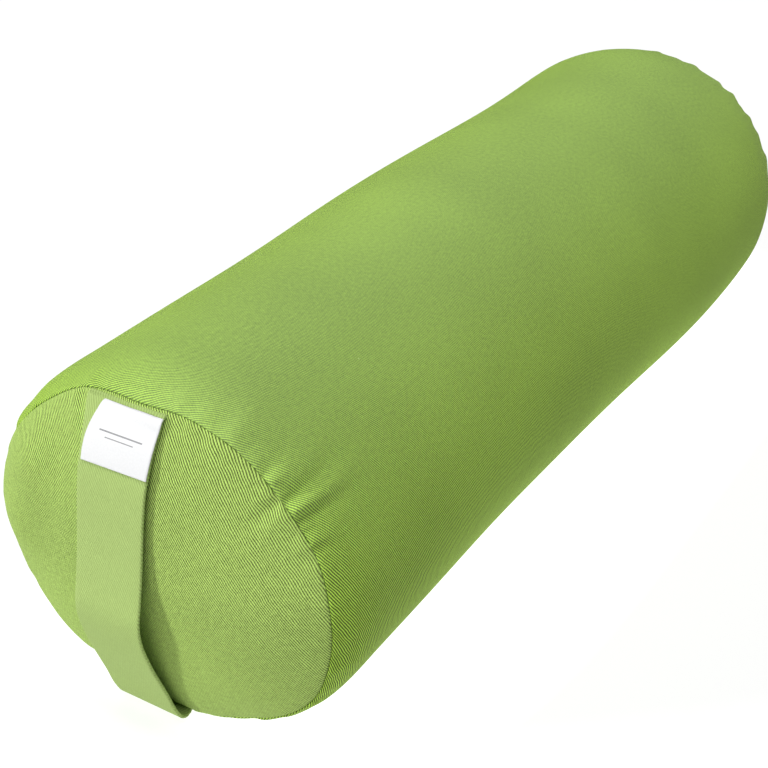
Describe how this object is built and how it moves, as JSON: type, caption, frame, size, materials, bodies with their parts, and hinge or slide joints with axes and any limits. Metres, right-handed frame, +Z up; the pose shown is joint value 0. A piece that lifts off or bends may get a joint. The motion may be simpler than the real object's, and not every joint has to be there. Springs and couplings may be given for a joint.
{
  "type": "bolster pillow",
  "caption": "Cylindrical floor bolster: a firmly filled cloth tube with crowned round ends, a carrying strap across one end and a small sewn label.",
  "frame": {"origin": "on the surface the bolster lies on, under the middle of its bounding box", "axes": "+X along the bolster away from the end with the strap, +Y across it, +Z up"},
  "size_m": [0.696, 0.2412, 0.2143],
  "materials": {
    "cover_cloth": "lime green cotton twill with a fine diagonal rib, matt",
    "strap_cloth": "lime green twill strap, a shade paler, matt",
    "label_cloth": "white woven satin ribbon, soft sheen"
  },
  "bodies": {
    "root": {"body": "cover_cloth", "end_panel_near": "cover_cloth", "end_panel_far": "cover_cloth", "handle": "strap_cloth", "label": "label_cloth"}
  },
  "joints": []
}
